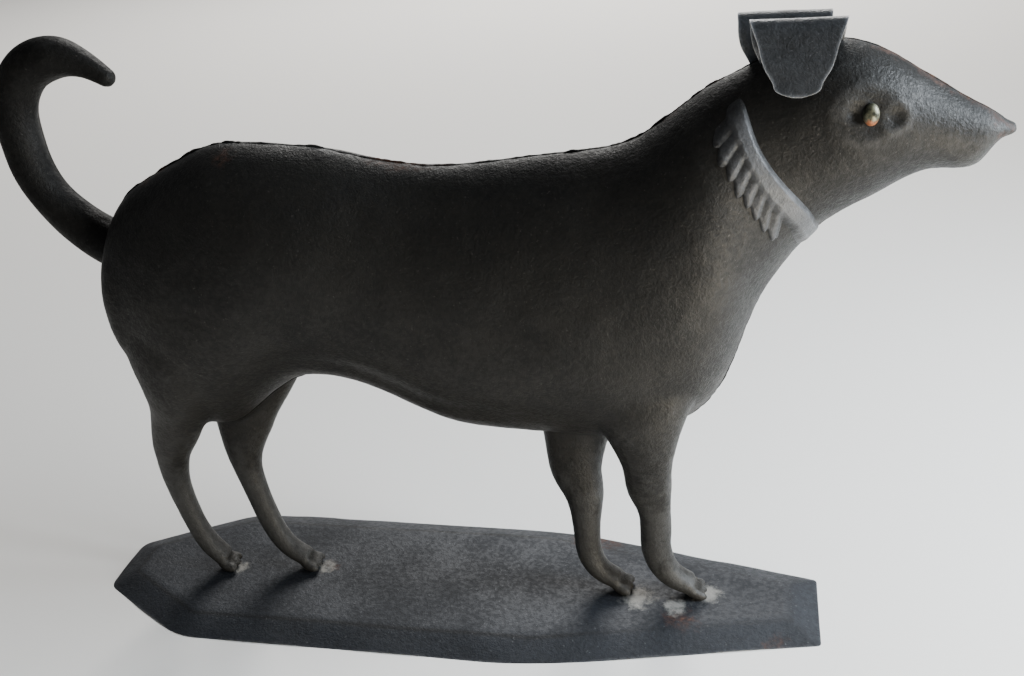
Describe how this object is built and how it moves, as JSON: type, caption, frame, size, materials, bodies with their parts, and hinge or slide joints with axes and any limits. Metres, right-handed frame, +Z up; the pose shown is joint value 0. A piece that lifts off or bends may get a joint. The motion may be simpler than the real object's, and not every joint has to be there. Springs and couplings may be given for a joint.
{
  "type": "sheet metal dog sculpture",
  "caption": "Standing folk-art dog of hammered sheet iron with a curled tail and folded ears, on a shallow folded sheet-iron base.",
  "frame": {"origin": "on the resting plane under the base, at the middle of the overall length and width", "axes": "+X towards the nose, +Y towards the dog's left side, +Z up"},
  "size_m": [0.5068, 0.124, 0.3324],
  "materials": {
    "iron_base": "waxed blue-grey sheet iron with dull rust patches",
    "iron_body": "blackened hammered sheet iron, softly polished, rust along the seams",
    "iron_tail": "blackened sheet iron, dull",
    "iron_ears": "grey sheet steel with brighter worn edges",
    "stud_metal": "pale tarnished stud with rust at its foot"
  },
  "bodies": {
    "root": {"base_tray": "iron_base", "dog_body": "iron_body", "tail": "iron_tail", "ear_right": "iron_ears", "ear_left": "iron_ears", "eye_right": "stud_metal", "eye_left": "stud_metal"}
  },
  "joints": []
}
